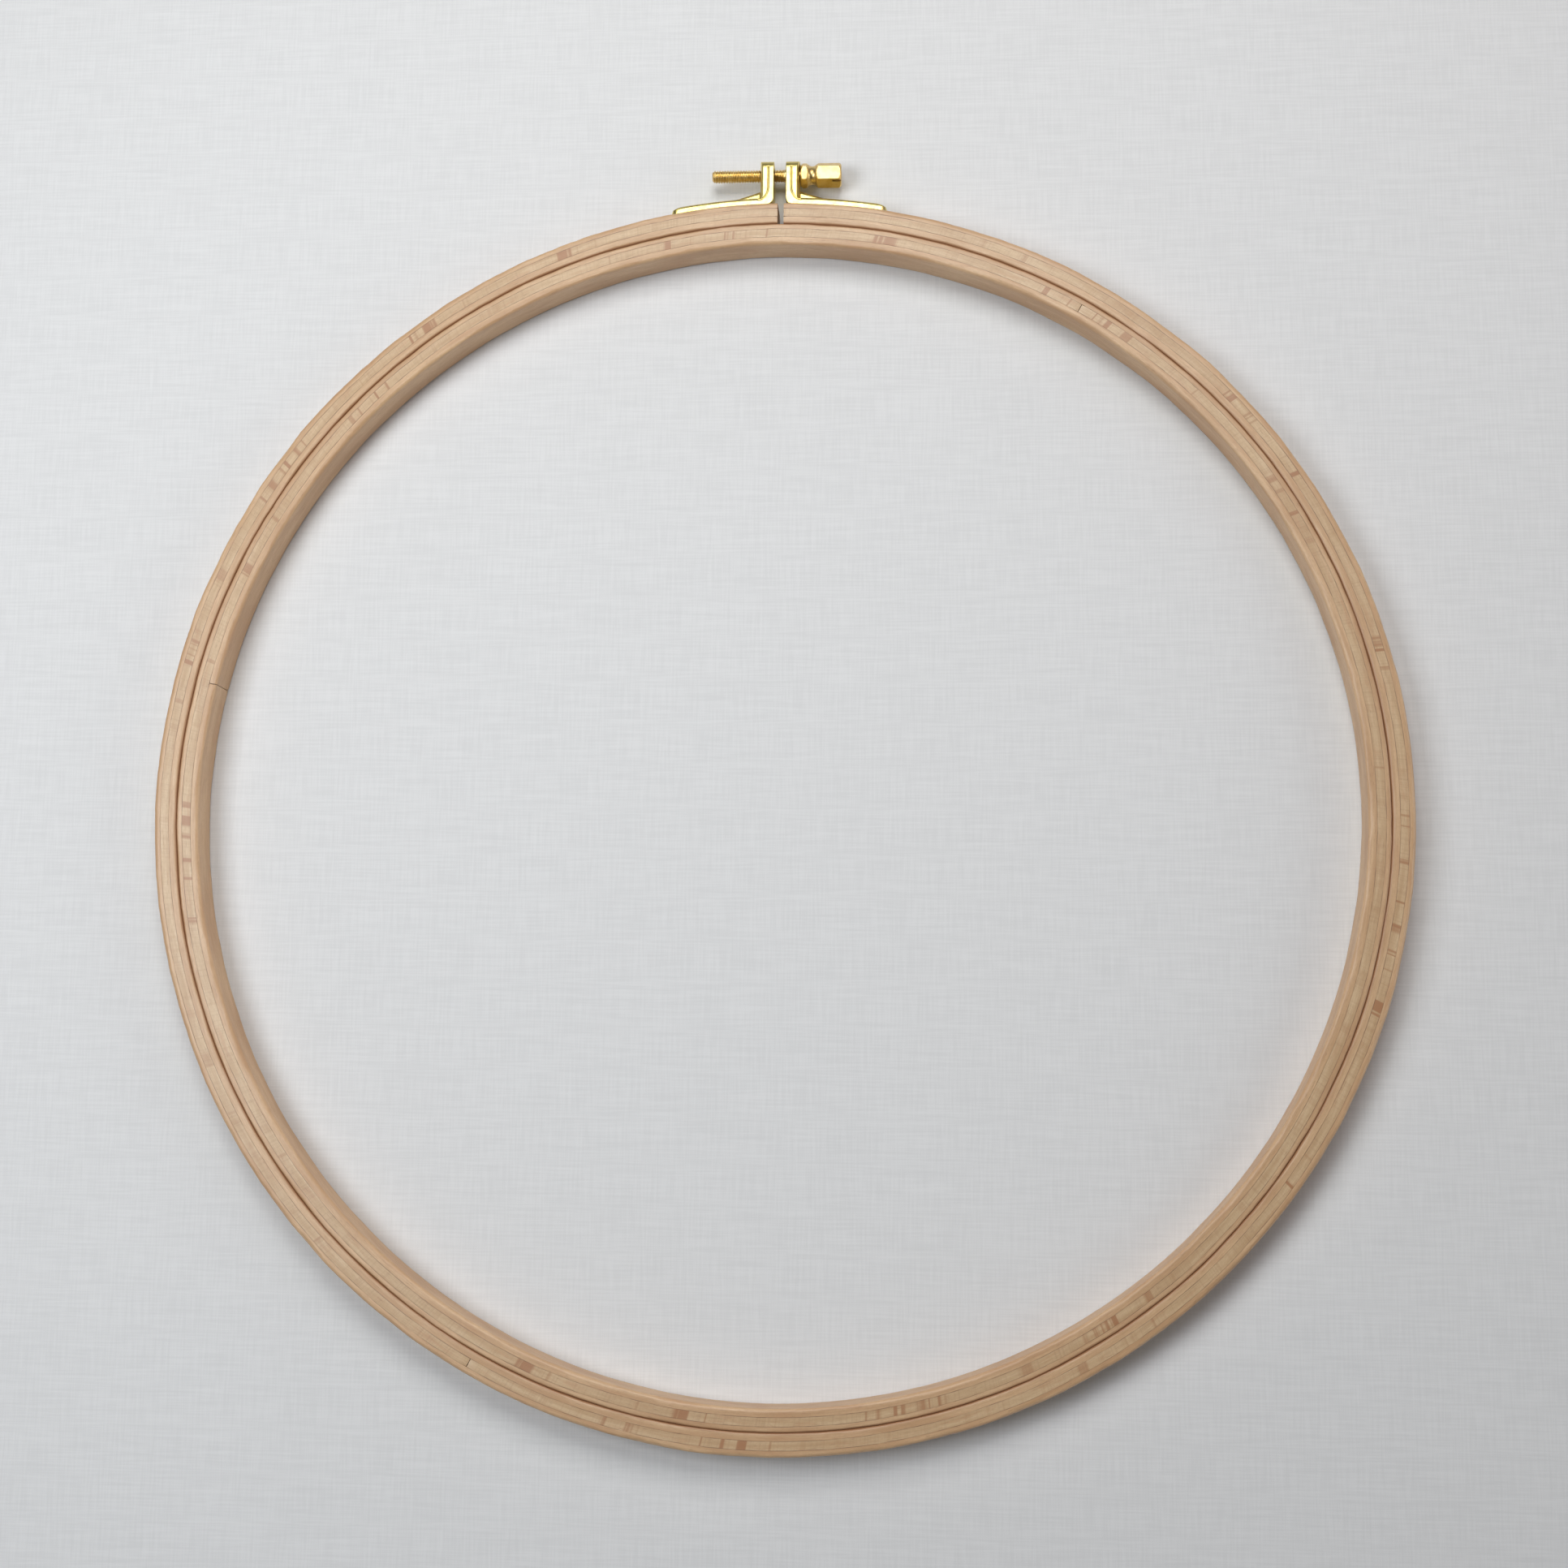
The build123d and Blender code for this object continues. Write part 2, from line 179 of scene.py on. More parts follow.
# the wood's surface and its sawn ends, in millimetres
UNEVEN_SIZE, UNEVEN_HEIGHT = 24.0, 0.05
UNEVEN_ACROSS = 0.6  # share of the unevenness that the sides take
DENT_SIZE, DENT_HEIGHT = 4.5, 0.018
SAWN_SIZE, SAWN_HEIGHT = 2.2, 0.02
SAWN_BACK = 0.05  # how far a sawn end is cut back
SAWN_SHRINK = 0.1  # how much narrower a sawn end is, as its edges are softened
ROUND_CHANGE = 0.16  # how far a rounded edge's radius wanders
ROUND_CHANGE_RATE = 2.2  # how much faster it wanders than the surface does
NO_GLUE = 9.0  # distance that counts as no glue line
field_seed = rng.integers(1 << 30)


def uneven(points):
    """The same unevenness for every strip, so that neighbours stay in contact."""
    draws = np.random.default_rng(field_seed)
    swell = waves(points, UNEVEN_SIZE, UNEVEN_HEIGHT, draws)
    return swell + waves(points, DENT_SIZE, DENT_HEIGHT, draws)


def strip(name, radii, rounds, start, end, material, cut=(False, False), tone=0.0):
    """One bent strip of wood between two polar angles. rounds are its inner and outer edges' radii.
    cut says which of its ends show as sawn ends; the others only meet the rest of the same strip."""
    inner, outer = radii
    steps = [ROUND_STEPS if r > GLUE_EASE else EASE_STEPS for r in rounds]
    base, shifts = outline(inner, outer, *steps)
    middle = (inner + outer) / 2
    angles = np.radians(np.linspace(start, end, round(math.radians(end - start) * middle / ALONG_STEP)))
    ring = np.stack([np.cos(angles), np.sin(angles), 0 * angles], axis=-1) * middle
    wander = ROUND_CHANGE * uneven(ring * ROUND_CHANGE_RATE)[:, None] / UNEVEN_HEIGHT
    sizes = np.array(rounds)[None, :] * (1 + wander)
    sizes = np.clip(sizes, 0.8 * GLUE_EASE, 1.4 * np.array(rounds))
    section = base[None] + np.einsum("sk,nkc->snc", sizes, shifts)
    radius, height = section[..., 0], section[..., 1]
    turn = np.repeat(angles[:, None], len(base), axis=1)
    along = turn * middle
    for which, (place, is_cut) in enumerate(zip((0, -1), cut)):
        if is_cut:
            sign = 1 - 2 * which
            end_points = np.stack([radius[place], height[place], 0 * height[place]], axis=-1)
            rough = waves(end_points, SAWN_SIZE, SAWN_HEIGHT, rng)
            turn[place] += (sign * SAWN_BACK + rough) / middle
            shrink = 1 - SAWN_SHRINK / (outer - inner)
            radius[place] = middle + (radius[place] - middle) * shrink
            height[place] *= 1 - SAWN_SHRINK / HALF_DEPTH
    flat = np.stack([radius * np.cos(turn), radius * np.sin(turn), height], axis=-1)
    bumps = uneven(flat)
    radius = radius + bumps * UNEVEN_ACROSS
    height = height + bumps * np.sign(height)
    points = np.stack([radius * np.cos(turn), radius * np.sin(turn), height], axis=-1) * MM
    made = object_from_grid(name, points, material)
    grain = np.stack([along, section[..., 0] - inner, section[..., 1]], axis=-1)
    store(made, "grain", grain.reshape(-1, 3))
    glue = np.full(section.shape[:2], NO_GLUE)
    if rounds[0] <= GLUE_EASE:
        glue = np.minimum(glue, section[..., 0] - inner)
    if rounds[1] <= GLUE_EASE:
        glue = np.minimum(glue, outer - section[..., 0])
    store(made, "to_glue", glue.ravel())
    store(made, "to_groove", np.abs(section[..., 0] - HOOP_RADIUS - RING_PLAY / 2).ravel())
    store(made, "tone", np.full(glue.size, tone))
    return made


# ---------------------------------------------------------------- materials
def node(tree, kind, inputs=None, **settings):
    """A shader node with its settings and inputs, which are values or other nodes' outputs."""
    made = tree.nodes.new("ShaderNode" + kind)
    for key, value in settings.items():
        setattr(made, key, value)
    for key, value in (inputs or {}).items():
        if isinstance(value, bpy.types.NodeSocket):
            tree.links.new(value, made.inputs[key])
        else:
            made.inputs[key].default_value = value
    return made.outputs


def math_node(tree, operation, first, second=0.0, third=0.0):
    return node(tree, "Math", {0: first, 1: second, 2: third}, operation=operation)[0]


def mix(tree, factor, first, second):
    """Two colours mixed."""
    return node(tree, "Mix", {0: factor, 6: first, 7: second}, data_type="RGBA")[2]


def stretch(tree, vector, scale):
    """A vector with each part multiplied."""
    return node(tree, "VectorMath", {0: vector, 1: scale}, operation="MULTIPLY")[0]


def noise(tree, vector, scale=1.0, detail=2.0, roughness=0.5, distortion=0.0):
    looks = {"Scale": scale, "Detail": detail, "Roughness": roughness, "Distortion": distortion}
    return node(tree, "TexNoise", {"Vector": vector, **looks})[0]


def grain_noise(tree, grain, sizes, **looks):
    """Noise of these sizes in millimetres along the grain, across the strip and down it."""
    return noise(tree, stretch(tree, grain, tuple(1 / size for size in sizes)), **looks)


def between(tree, value, low, high, bottom=0.0, top=1.0):
    """A value eased from bottom at low to top at high."""
    wanted = {"Value": value, "From Min": low, "From Max": high, "To Min": bottom, "To Max": top}
    return node(tree, "MapRange", wanted, interpolation_type="SMOOTHSTEP")[0]


def attribute(tree, name, part="Fac"):
    return node(tree, "Attribute", attribute_name=name)[part]


def colour(red, green, blue):
    """An sRGB colour, 0 to 255, as linear RGBA."""
    def linear(value):
        share = value / 255
        return share / 12.92 if share <= 0.04045 else ((share + 0.055) / 1.055) ** 2.4
    return (linear(red), linear(green), linear(blue), 1.0)


def new_material(name):
    """A node material and its tree, with only an output."""
    material = bpy.data.materials.new(name)
    material.use_nodes = True
    material.node_tree.nodes.clear()
    return material, material.node_tree


def finish_material(tree, inputs):
    shader = node(tree, "BsdfPrincipled", inputs)[0]
    node(tree, "OutputMaterial", {"Surface": shader})


GRAIN_OFFSET = 730.0  # millimetres of grain between a strip and one whose tone is 1 more


def rays(tree, grain, surface):
    """Beech's brown rays, in clusters and a little slanted, drawn across a strip."""
    place = node(tree, "SeparateXYZ", {0: grain})
    along = math_node(tree, "MULTIPLY_ADD", place[1], 0.16, place[0])
    down = math_node(tree, "MULTIPLY", place[2], 0.12)
    line = node(tree, "CombineXYZ", {0: along, 1: 0.0, 2: down})[0]
    fine = grain_noise(tree, line, (0.45, 1, 1), detail=2.0)
    surface = mix(tree, between(tree, fine, 0.45, 0.75, 0, 0.2), surface, colour(158, 116, 88))
    band = grain_noise(tree, line, (3.4, 1, 1), detail=2.5, roughness=0.6, distortion=0.5)
    cluster = grain_noise(tree, line, (38, 1, 1), detail=1.0)
    band = between(tree, band, 0.56, 0.64)
    cluster = between(tree, cluster, 0.44, 0.58, 0.15, 0.85)
    return mix(tree, math_node(tree, "MULTIPLY", band, cluster), surface, colour(166, 114, 76))


def glue_lines_and_groove_shade(tree, grain, surface):
    """The broken glue line between plies, and a painted brown shade along the groove between the rings,
    where their rounded edges turn from the light.
    """
    glue = between(tree, attribute(tree, "to_glue"), 0.02, 0.13, 1, 0)
    broken = between(tree, grain_noise(tree, grain, (5, 5, 5), detail=3.0), 0.35, 0.62, 0.12, 0.75)
    surface = mix(tree, math_node(tree, "MULTIPLY", glue, broken), surface, colour(118, 88, 68))
    # painted shade: the wood is mixed towards brown within about 0.65 mm of the groove between the rings
    groove = between(tree, attribute(tree, "to_groove"), 0.05, 0.65, 0.8, 0)
    return mix(tree, groove, surface, colour(152, 102, 66))


def beech(name, crosswise):
    """Sanded beech whose grain follows the strip. crosswise strips show rays that run across."""
    material, tree = new_material(name)
    grain = attribute(tree, "grain", "Vector")
    tone = attribute(tree, "tone")
    elsewhere = {0: math_node(tree, "MULTIPLY", tone, GRAIN_OFFSET), 1: tone, 2: tone}
    elsewhere = node(tree, "CombineXYZ", elsewhere)[0]
    grain = node(tree, "VectorMath", {0: grain, 1: elsewhere}, operation="ADD")[0]
    cloudy = grain_noise(tree, grain, (26, 1.6, 5), detail=3.0)
    blotch = grain_noise(tree, grain, (9, 1.1, 4), detail=4.0, distortion=0.6)
    fibre = grain_noise(tree, grain, (5, 0.3, 0.3), detail=3.0, roughness=0.6)
    pale, warm = colour(217, 182, 142), colour(196, 156, 116)
    if crosswise:
        pale, warm = colour(214, 186, 148), colour(196, 163, 124)
    surface = mix(tree, between(tree, cloudy, 0.3, 0.7), pale, warm)
    surface = mix(tree, between(tree, blotch, 0.52, 0.72, 0, 0.5), surface, colour(196, 150, 112))
    mottle = grain_noise(tree, grain, (1.1, 0.45, 0.45), detail=3.0, roughness=0.7)
    surface = mix(tree, between(tree, mottle, 0.35, 0.7, 0, 0.22), surface, colour(172, 134, 100))
    streak = between(tree, fibre, 0.3, 0.75, 0, 0.25 if crosswise else 0.36)
    surface = mix(tree, streak, surface, colour(178, 139, 103))
    pore = between(tree, grain_noise(tree, grain, (2.6, 0.16, 0.16), detail=1.0), 0.66, 0.78, 0, 0.5)
    surface = mix(tree, pore, surface, colour(142, 104, 76))
    if crosswise:
        surface = rays(tree, grain, surface)
    surface = glue_lines_and_groove_shade(tree, grain, surface)
    rough = between(tree, fibre, 0.2, 0.8, 0.4, 0.5)
    height = math_node(tree, "ADD", fibre, math_node(tree, "MULTIPLY", pore, -0.8))
    bump = node(tree, "Bump", {"Height": height, "Strength": 0.35, "Distance": 0.03 * MM})[0]
    shine = {"Roughness": rough, "Specular IOR Level": 0.85}
    finish_material(tree, {"Base Color": surface, "Normal": bump, **shine})
    return material


def brass(name, light, dark, roughness):
    """Bright brass, a little uneven in tone and in how sharply it reflects."""
    material, tree = new_material(name)
    place = node(tree, "TexCoord")["Object"]
    cloud = noise(tree, place, scale=600.0, detail=3.0)
    dimples = noise(tree, place, scale=2600.0, detail=2.0)
    surface = mix(tree, between(tree, cloud, 0.35, 0.7), light, dark)
    rough = between(tree, dimples, 0.25, 0.75, roughness - 0.04, roughness + 0.05)
    bump = node(tree, "Bump", {"Height": dimples, "Strength": 0.1, "Distance": 0.01 * MM})[0]
    finish_material(tree, {"Base Color": surface, "Metallic": 1.0, "Roughness": rough, "Normal": bump})
    return material


def cloth_floor():
    """Pale plain cloth with a fine weave."""
    material, tree = new_material("pale_cloth")
    place = node(tree, "TexCoord")["Object"]
    warp = noise(tree, stretch(tree, place, (1900, 90, 1)), detail=2.0)
    weft = noise(tree, stretch(tree, place, (90, 1900, 1)), detail=2.0)
    slub = noise(tree, stretch(tree, place, (40, 600, 1)), detail=2.0)
    weave = math_node(tree, "ADD", warp, weft)
    height = math_node(tree, "MULTIPLY_ADD", slub, 0.6, weave)
    surface = mix(tree, between(tree, height, 0.9, 1.7), colour(221, 222, 224), colour(229, 230, 232))
    bump = node(tree, "Bump", {"Height": height, "Strength": 0.22, "Distance": 0.1 * MM})[0]
    finish_material(tree, {"Base Color": surface, "Roughness": 0.9, "Normal": bump})
    return material


beech_side = beech("beech_side", False)
beech_core = beech("beech_core", True)
bracket_brass = brass("bracket_brass", colour(232, 214, 142), colour(218, 198, 122), 0.34)
screw_brass = brass("screw_brass", colour(236, 208, 144), colour(222, 188, 118), 0.36)
pin_brass = brass("pin_brass", colour(226, 206, 140), colour(206, 180, 110), 0.34)


# ---------------------------------------------------------------- the rings
def ply_radii(inside, thicknesses):
    """Each ply's inner and outer radius, from a ring's inside outwards."""
    radii = {}
    for ply, thickness in thicknesses.items():
        radii[ply] = (inside, inside + thickness)
        inside += thickness
    return radii


def gap_angle(width, radii):
    """Half the angle that a gap takes up at a ply, in degrees."""
    return math.degrees(width / (radii[0] + radii[1]))


INNER_RING_ROUNDS = {
    "inner": (INSIDE_ROUND, GLUE_EASE),
    "middle": (GLUE_EASE, GLUE_EASE),
    "outer": (GLUE_EASE, GROOVE_ROUND),
}
OUTER_RING_ROUNDS = {
    "inner": (GROOVE_ROUND, GLUE_EASE),
    "middle": (GLUE_EASE, GLUE_EASE),
    "outer": (GLUE_EASE, OUTSIDE_ROUND),
}
PLY_MATERIALS = {"inner": beech_side, "middle": beech_core, "outer": beech_side}

inner_radii = ply_radii(HOOP_RADIUS - sum(INNER_RING_PLIES.values()), INNER_RING_PLIES)
outer_radii = ply_radii(HOOP_RADIUS + RING_PLAY, OUTER_RING_PLIES)
inner_radii["outer"] = (inner_radii["outer"][0], HOOP_RADIUS + GROOVE_CLOSING)
outer_radii["inner"] = (HOOP_RADIUS + RING_PLAY - GROOVE_CLOSING, outer_radii["inner"][1])

inner_joints = {"inner": INNER_RING_INNER_JOINT, "middle": INNER_RING_MIDDLE_JOINT, "outer": BOTTOM}
for number, (ply, joint) in enumerate(inner_joints.items()):
    radii = inner_radii[ply]
    gap = 0 if ply == "outer" else gap_angle(BUTT_GAP, radii)
    start, end = joint + gap, joint + 360 - gap
    cut = (ply != "outer", ply != "outer")
    material, tone = PLY_MATERIALS[ply], 0.13 + 0.17 * number
    piece = strip(f"inner_ring_{ply}_strip", radii, INNER_RING_ROUNDS[ply], start, end, material, cut, tone)
    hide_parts(f"inner_ring_{ply}_ply")
    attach(piece, "inner_ring")


def outer_strip(name, ply, start, end, cut, tone, nodes):
    """A strip of the outer ring, in its right or left half."""
    radii, rounds, material = outer_radii[ply], OUTER_RING_ROUNDS[ply], PLY_MATERIALS[ply]
    piece = strip(name, radii, rounds, start, end, material, cut, tone)
    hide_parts(*nodes)
    if end <= BOTTOM:
        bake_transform(piece)
    else:
        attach(piece, "root")


for number, ply in enumerate(OUTER_RING_PLIES):
    gap = gap_angle(CLAMP_GAP, outer_radii[ply])
    start, end = CLAMP + gap, CLAMP + 360 - gap
    tone = 0.66 + 0.11 * number
    nodes = [f"outer_ring_{ply}_ply"]
    if ply == "middle":
        butt = gap_angle(BUTT_GAP, outer_radii[ply])
        joint = OUTER_RING_MIDDLE_JOINT
        short = ["outer_ring_middle_ply_short"]
        outer_strip("outer_ring_middle_strip_short", ply, start, joint - butt, (True, True), tone, short)
        start = joint + butt
        tone += 0.3
        nodes = ["outer_ring_middle_ply_long"]
    outer_strip(f"outer_ring_{ply}_strip_left", ply, start, BOTTOM, (True, False), tone, nodes)
    outer_strip(f"outer_ring_{ply}_strip_right", ply, BOTTOM, end, (False, True), tone, nodes)

# ---------------------------------------------------------------- the clamp screw, in millimetres
THREAD_RADIUS = 3.25 / 2
THREAD_PITCH = 0.69
THREAD_DEPTH = 0.28
THREAD_CREST, THREAD_FLANK = 0.14, 0.72  # shares of half a pitch
TIP_BEVEL = 0.55
TIP_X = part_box("clamp_screw")[0].x / MM
HEAD_END_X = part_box("clamp_screw")[1].x / MM
THREAD_END_X = 0.8
COLLAR_X = 4.95
NECK_X = 7.0
HEAD_X = 9.0
HEX_APOTHEM = 5.7 / 2
HEX_TURN = 7.0  # degrees
HEX_BEVEL, HEX_BEVEL_SLOPE = 0.16, 1.1
NECK_RADIUS, NECK_EDGE_RADIUS = 2.35, 2.75
SLOT_TURN, SLOT_WIDTH, SLOT_DEPTH = 51.0, 0.5, 2.3
SCREW_AXIS = next(Vector(j["pos_m"]) for j in frame["joints"] if j["name"] == "screw_turn")
AROUND = 96
TURN_STEPS = 12  # stations in one turn of the thread
HEAD_STEP = 0.12
FACE_EDGE = 1e-4  # how close to a step in the radius its two stations stand


def hexagon(turn):
    """Radius of the hexagon at each angle about the screw."""
    off = (turn - HEX_TURN + 30) % 60 - 30
    return HEX_APOTHEM / np.cos(np.radians(off))


def screw_radius(x, turn):
    """Radius of the clamp screw at each place along it and angle about it."""
    phase = (x / THREAD_PITCH - turn / 360) % 1
    ridge = np.clip((np.abs(2 * phase - 1) - THREAD_CREST) / THREAD_FLANK, 0, 1)
    fade = np.clip((THREAD_END_X - x) / THREAD_PITCH, 0, 1)
    shank = THREAD_RADIUS - THREAD_DEPTH * ridge * fade
    shank = np.minimum(shank, THREAD_RADIUS - TIP_BEVEL + (x - TIP_X))
    neck_share = np.abs(x - (NECK_X + HEAD_X) / 2) / ((HEAD_X - NECK_X) / 2)
    neck = NECK_RADIUS + (NECK_EDGE_RADIUS - NECK_RADIUS) * neck_share**2
    edge = np.minimum.reduce([np.abs(x - end) for end in (COLLAR_X, NECK_X, HEAD_X, HEAD_END_X)])
    hexes = np.minimum(hexagon(turn), HEX_APOTHEM - HEX_BEVEL + edge * HEX_BEVEL_SLOPE)
    is_neck = (x > NECK_X) & (x < HEAD_X)
    return np.where(x <= COLLAR_X, shank, np.where(is_neck, neck, hexes))


def screw_grid():
    """The screw's surface as a grid of points in metres."""
    threads = np.arange(TIP_X, THREAD_END_X + THREAD_PITCH, THREAD_PITCH / TURN_STEPS)
    body = [THREAD_END_X + 2 * THREAD_PITCH, COLLAR_X, COLLAR_X + FACE_EDGE]
    for low, high in ((COLLAR_X, NECK_X), (NECK_X, HEAD_X), (HEAD_X, HEAD_END_X)):
        body += list(np.linspace(low + FACE_EDGE, high - FACE_EDGE, round((high - low) / HEAD_STEP)))
    places = np.unique(np.concatenate([threads, body]))
    turns = HEX_TURN + np.arange(AROUND) * 360 / AROUND
    x, turn = np.meshgrid(places, turns, indexing="ij")
    radius = screw_radius(x, turn)
    angle = np.radians(turn)
    grid = np.stack([x, -radius * np.sin(angle), radius * np.cos(angle)], axis=-1) * MM
    return grid + np.array(SCREW_AXIS)


def cut_slot(screw):
    """The screwdriver slot across the end of the head."""
    bpy.ops.mesh.primitive_cube_add(size=1)
    cutter = bpy.context.object
    cutter.scale = Vector((2 * SLOT_DEPTH, SLOT_WIDTH, 4 * HEX_APOTHEM)) * MM
    cutter.rotation_euler = Euler((math.radians(SLOT_TURN), 0, 0))
    cutter.location = SCREW_AXIS + Vector((HEAD_END_X * MM, 0, 0))
    bpy.context.view_layer.update()
    trim = screw.modifiers.new("slot", "BOOLEAN")
    trim.object = cutter
    trim.solver = "EXACT"
    depsgraph = bpy.context.evaluated_depsgraph_get()
    cut = bpy.data.meshes.new_from_object(screw.evaluated_get(depsgraph))
    screw.modifiers.clear()
    screw.data = cut
    bpy.data.objects.remove(cutter)


screw = object_from_grid("clamp_screw_threaded", screw_grid(), screw_brass, sharp=28.0)
cut_slot(screw)
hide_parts("clamp_screw")
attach(screw, "screw")

# ---------------------------------------------------------------- brackets, in millimetres
SEAT_GAP = 0.05
SEAT_RADIUS = HOOP_RADIUS + RING_PLAY + sum(OUTER_RING_PLIES.values()) + SEAT_GAP
SIGN = {"right": 1, "left": -1}
UPRIGHT_X = {"right": 1.15, "left": 1.95}
LEAF, FOLD_SLIT = 1.3, 0.3
SLIT_END = 5.0  # above the foot's seat; below it the parting of the two leaves curves out
SLIT_TOP = 10.4
PARTING_REACH = 2.6
PARTING_WIDTH, PARTING_DEPTH = 0.15, 0.22
FRONT_FACE = 2.6  # the parting is pressed where the metal is further than this from mid-depth
FILL_REACH = 3.45  # the slit is filled this far from mid-depth
FOOT_TIP_X = {"right": 27.9, "left": 29.0}
TIP_SLOPE = 3.0  # how far from its end a foot starts to come down to the wood
TIP_LEAST = 0.25  # share of its height that is left at the end
WELD_DISTANCE = 1e-7  # metres
VOXEL = 0.11
SOFTENING = 5  # passes that round the edges


def parting_x(side):
    """How far the middle between the two leaves is from the clamp gap's middle."""
    return UPRIGHT_X[side] + LEAF + FOLD_SLIT / 2


def parting_line(side):
    """The line between the two leaves, which curves out onto the foot, in the hoop's plane."""
    turn = np.linspace(0, math.pi / 2, 40)
    across = parting_x(side) + PARTING_REACH * (1 - np.cos(turn))
    up = SLIT_END - (SLIT_END - LEAF) * np.sin(turn)
    straight = np.linspace(SLIT_TOP, SLIT_END, 60)
    across = np.concatenate([np.full(len(straight), parting_x(side)), across])
    up = np.concatenate([straight, up])
    return np.stack([SIGN[side] * across, SEAT_RADIUS + up], axis=-1)


def welded_bracket(side):
    """A copy of the CAD's bracket as one closed mesh, with the slit between its leaves filled."""
    source = frame["nodes"][f"{side}_bracket"]
    mesh = source.data.copy()
    mesh.transform(source.matrix_world)
    welded = bmesh.new()
    welded.from_mesh(mesh)
    bmesh.ops.remove_doubles(welded, verts=welded.verts, dist=WELD_DISTANCE)
    slit_middle = Vector((SIGN[side] * parting_x(side), SEAT_RADIUS + (SLIT_END + SLIT_TOP) / 2, 0)) * MM
    slit_size = Vector((2 * FOLD_SLIT, SLIT_TOP - SLIT_END + 2 * FOLD_SLIT, 2 * FILL_REACH)) * MM
    filler = Matrix.Translation(slit_middle) @ Matrix.Diagonal(slit_size).to_4x4()
    bmesh.ops.create_cube(welded, size=1, matrix=filler)
    welded.to_mesh(mesh)
    welded.free()
    return mesh


def rounded(made):
    """An object's mesh, remeshed finely and with its edges rounded."""
    remesh = made.modifiers.new("remesh", "REMESH")
    remesh.mode = "VOXEL"
    remesh.voxel_size = VOXEL * MM
    soften = made.modifiers.new("soften", "SMOOTH")
    soften.iterations = SOFTENING
    mesh = bpy.data.meshes.new_from_object(made.evaluated_get(bpy.context.evaluated_depsgraph_get()))
    made.modifiers.clear()
    return mesh


def press_parting(points, side):
    """Presses the line between the two leaves into a bracket's points, on both of its faces."""
    line = parting_line(side)
    near = (np.abs(points[:, 2]) > FRONT_FACE) & (np.abs(points[:, 0]) < np.abs(line[:, 0]).max() + 1)
    gaps = np.linalg.norm(points[near, None, :2] - line[None], axis=-1).min(axis=1)
    press = PARTING_DEPTH * np.exp(-(gaps / PARTING_WIDTH) ** 2)
    points[near, 2] -= np.sign(points[near, 2]) * press


def slope_tip(points, side):
    """Brings the end of a bracket's foot down to the wood."""
    from_tip = np.clip((FOOT_TIP_X[side] - np.abs(points[:, 0])) / TIP_SLOPE, 0, 1)
    share = TIP_LEAST + (1 - TIP_LEAST) * np.sqrt(1 - (1 - from_tip) ** 2)
    out = np.linalg.norm(points[:, :2], axis=1)
    lowered = SEAT_RADIUS + (out - SEAT_RADIUS) * share
    points[:, :2] *= (lowered / out)[:, None]


def soft_bracket(side):
    """A bracket with the CAD's shape, its edges rounded and the leaves' parting pressed into it."""
    made = bpy.data.objects.new(f"{side}_bracket_folded", welded_bracket(side))
    bpy.context.scene.collection.objects.link(made)
    mesh = rounded(made)
    made.data = mesh
    points = np.empty(3 * len(mesh.vertices))
    mesh.vertices.foreach_get("co", points)
    points = points.reshape(-1, 3) / MM
    press_parting(points, side)
    slope_tip(points, side)
    mesh.vertices.foreach_set("co", (points * MM).ravel())
    mesh.polygons.foreach_set("use_smooth", np.ones(len(mesh.polygons), bool))
    mesh.materials.clear()
    mesh.materials.append(bracket_brass)
    mesh.update()
    return made


for side, body in (("left", "left_clamp"), ("right", "root")):
    bracket = soft_bracket(side)
    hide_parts(f"{side}_bracket")
    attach(bracket, body)
    pin_slots = frame["nodes"][f"{side}_bracket_pins"].data.materials
    pin_slots.clear()
    pin_slots.append(pin_brass)

# ---------------------------------------------------------------- floor, light and camera
TABLE_RADIUS = 1.25
TABLE_CORNERS = 128
level = cad_box[0][2]
turns = [2 * math.pi * i / TABLE_CORNERS for i in range(TABLE_CORNERS)]
rim = [(TABLE_RADIUS * math.cos(a), TABLE_RADIUS * math.sin(a), level) for a in turns]
floor_mesh = bpy.data.meshes.new("floor")
floor_mesh.from_pydata(rim, [], [tuple(range(TABLE_CORNERS))])
floor_mesh.materials.append(cloth_floor())
floor = bpy.data.objects.new("floor", floor_mesh)
bpy.context.scene.collection.objects.link(floor)


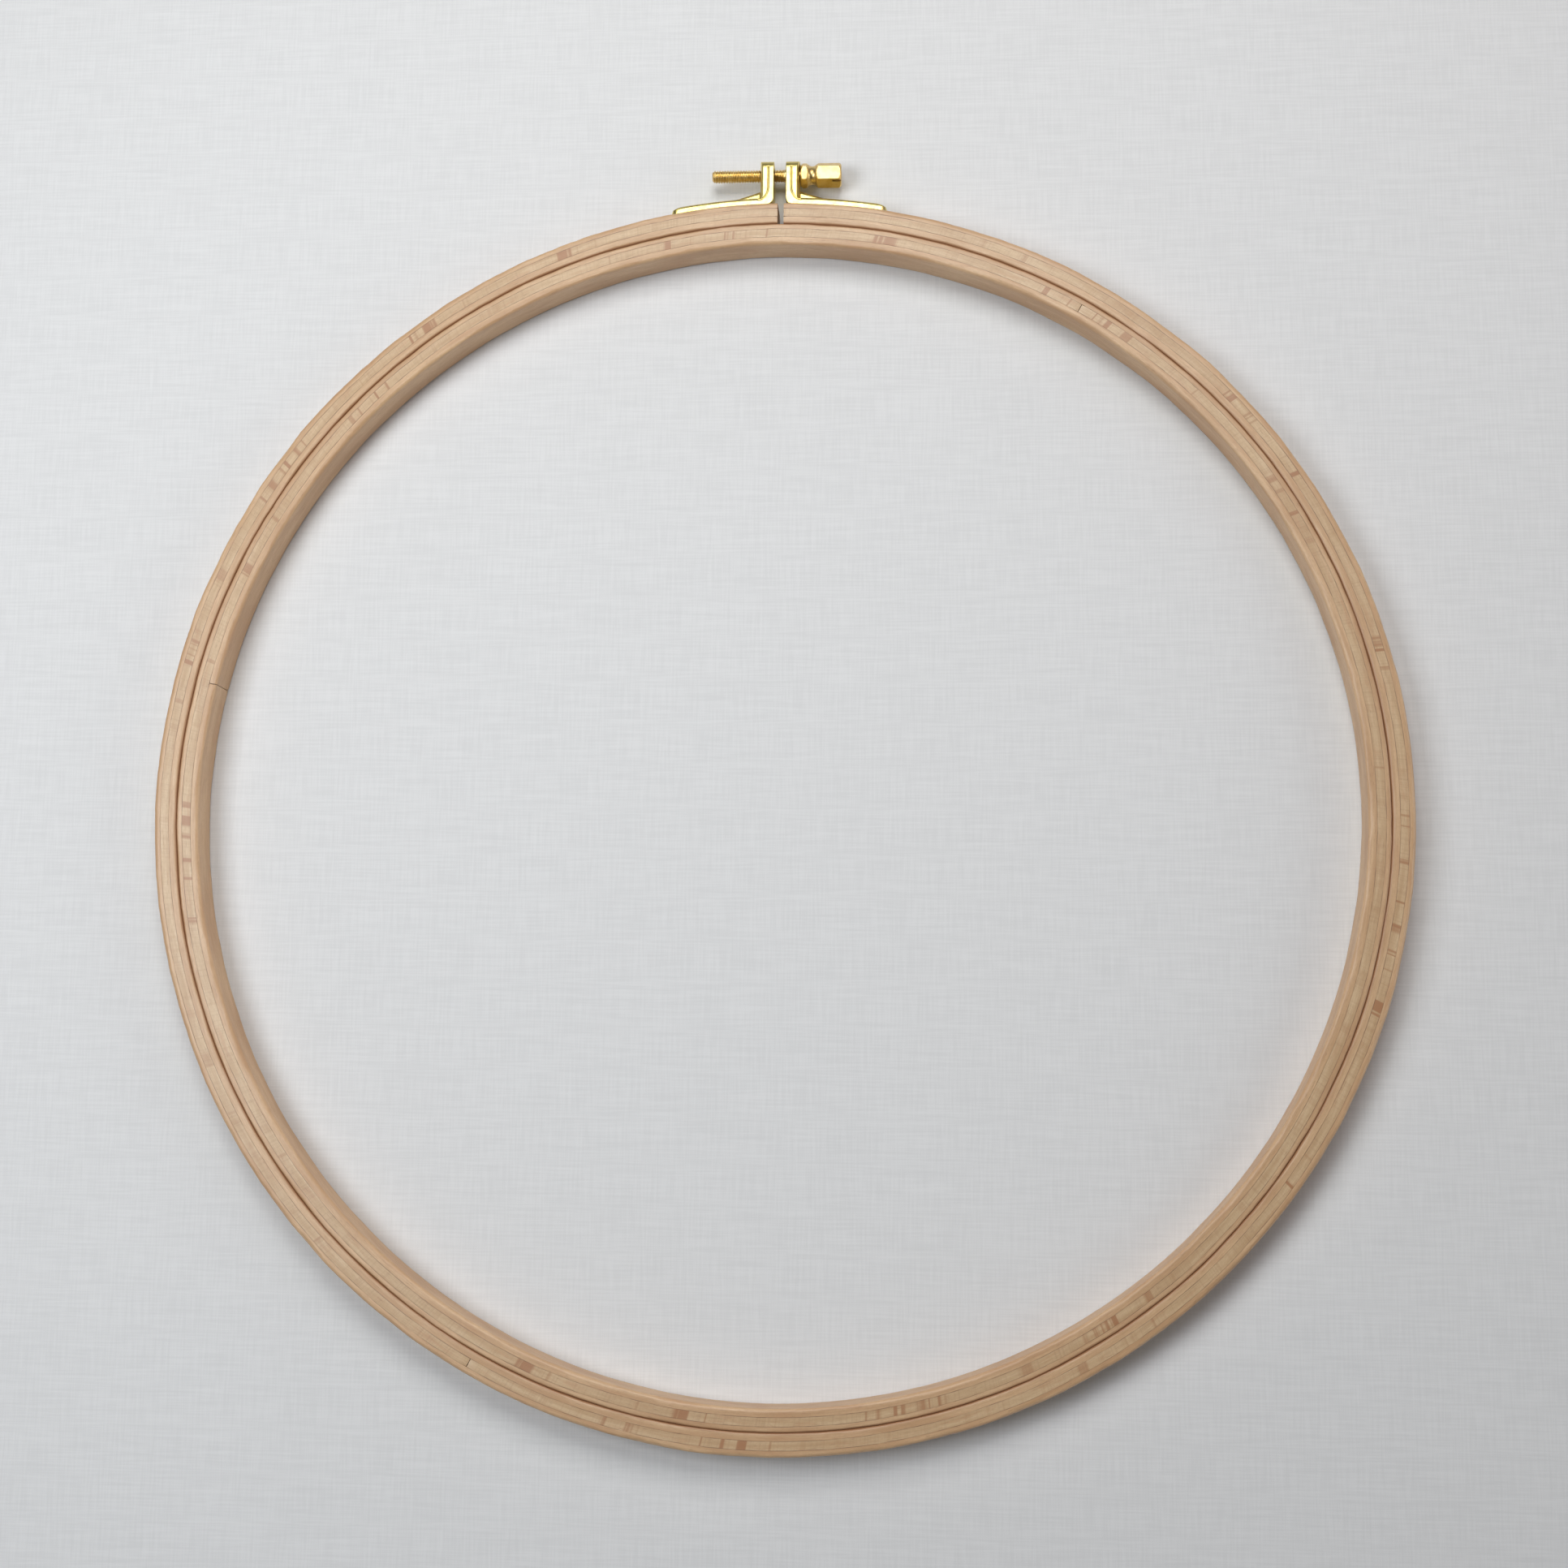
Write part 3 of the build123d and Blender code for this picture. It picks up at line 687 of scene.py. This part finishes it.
def soft_light(name, place, size, power, tint):
    """A square soft box that faces the middle of the hoop."""
    data = bpy.data.lights.new(name, "AREA")
    data.shape = "SQUARE"
    data.size = size
    data.energy = power
    data.color = tint
    lamp = bpy.data.objects.new(name, data)
    lamp.location = place
    lamp.rotation_euler = (-Vector(place)).to_track_quat("-Z", "Y").to_euler()
    bpy.context.scene.collection.objects.link(lamp)


soft_light("top", (0.0, 0.42, 0.62), 0.36, 2.4, (1.0, 1.0, 0.95))
soft_light("near_top", (0.05, 0.3, 0.85), 0.36, 0.45, (0.9, 0.92, 1.0))
soft_light("left", (-0.42, 0.0, 0.62), 0.36, 2.75, (0.96, 0.985, 1.0))
soft_light("upper_right", (0.478, 0.569, 0.669), 0.35, 0.45, (1.0, 0.7, 0.75))
soft_light("right_fill", (1.113, 0.0, 0.45), 0.6, 2.6, (1.0, 1.0, 0.97))

HORIZON_STRENGTH = 0.45  # pale walls all round the table
CEILING_STRENGTH = 0.02
WALL_TOP = (0.1, 0.4)  # sines of the elevations where the walls start and stop fading

world = bpy.data.worlds.new("studio")
bpy.context.scene.world = world
world.use_nodes = True
sky = world.node_tree
elevation = node(sky, "SeparateXYZ", {0: node(sky, "TexCoord")["Generated"]})[2]
fade = between(sky, elevation, *WALL_TOP, HORIZON_STRENGTH, CEILING_STRENGTH)
sky.links.new(fade, sky.nodes["Background"].inputs["Strength"])
sky.nodes["Background"].inputs["Color"].default_value = (0.97, 0.98, 1.0, 1.0)
bpy.context.scene.view_settings.view_transform = "Standard"

CAMERA_PLACE = Vector((0.0345, -0.0659, 0.520))
CAMERA_TURN = (-7.85, -3.52, -0.13)  # how the scene turns about X, then Y, then Z, in degrees
CAMERA_LENS, CAMERA_SENSOR = 47.73, 36.0  # millimetres
CAMERA_NEAREST = 0.01
camera_data = bpy.data.cameras.new("camera")
camera_data.lens = CAMERA_LENS
camera_data.sensor_width = CAMERA_SENSOR
camera_data.clip_start = CAMERA_NEAREST
camera = bpy.data.objects.new("camera", camera_data)
about = [Matrix.Rotation(math.radians(a), 3, axis) for a, axis in zip(CAMERA_TURN, "XYZ")]
scene_turn = about[2] @ about[1] @ about[0]
camera.matrix_world = Matrix.Translation(CAMERA_PLACE) @ scene_turn.transposed().to_4x4()
bpy.context.scene.collection.objects.link(camera)
bpy.context.scene.camera = camera
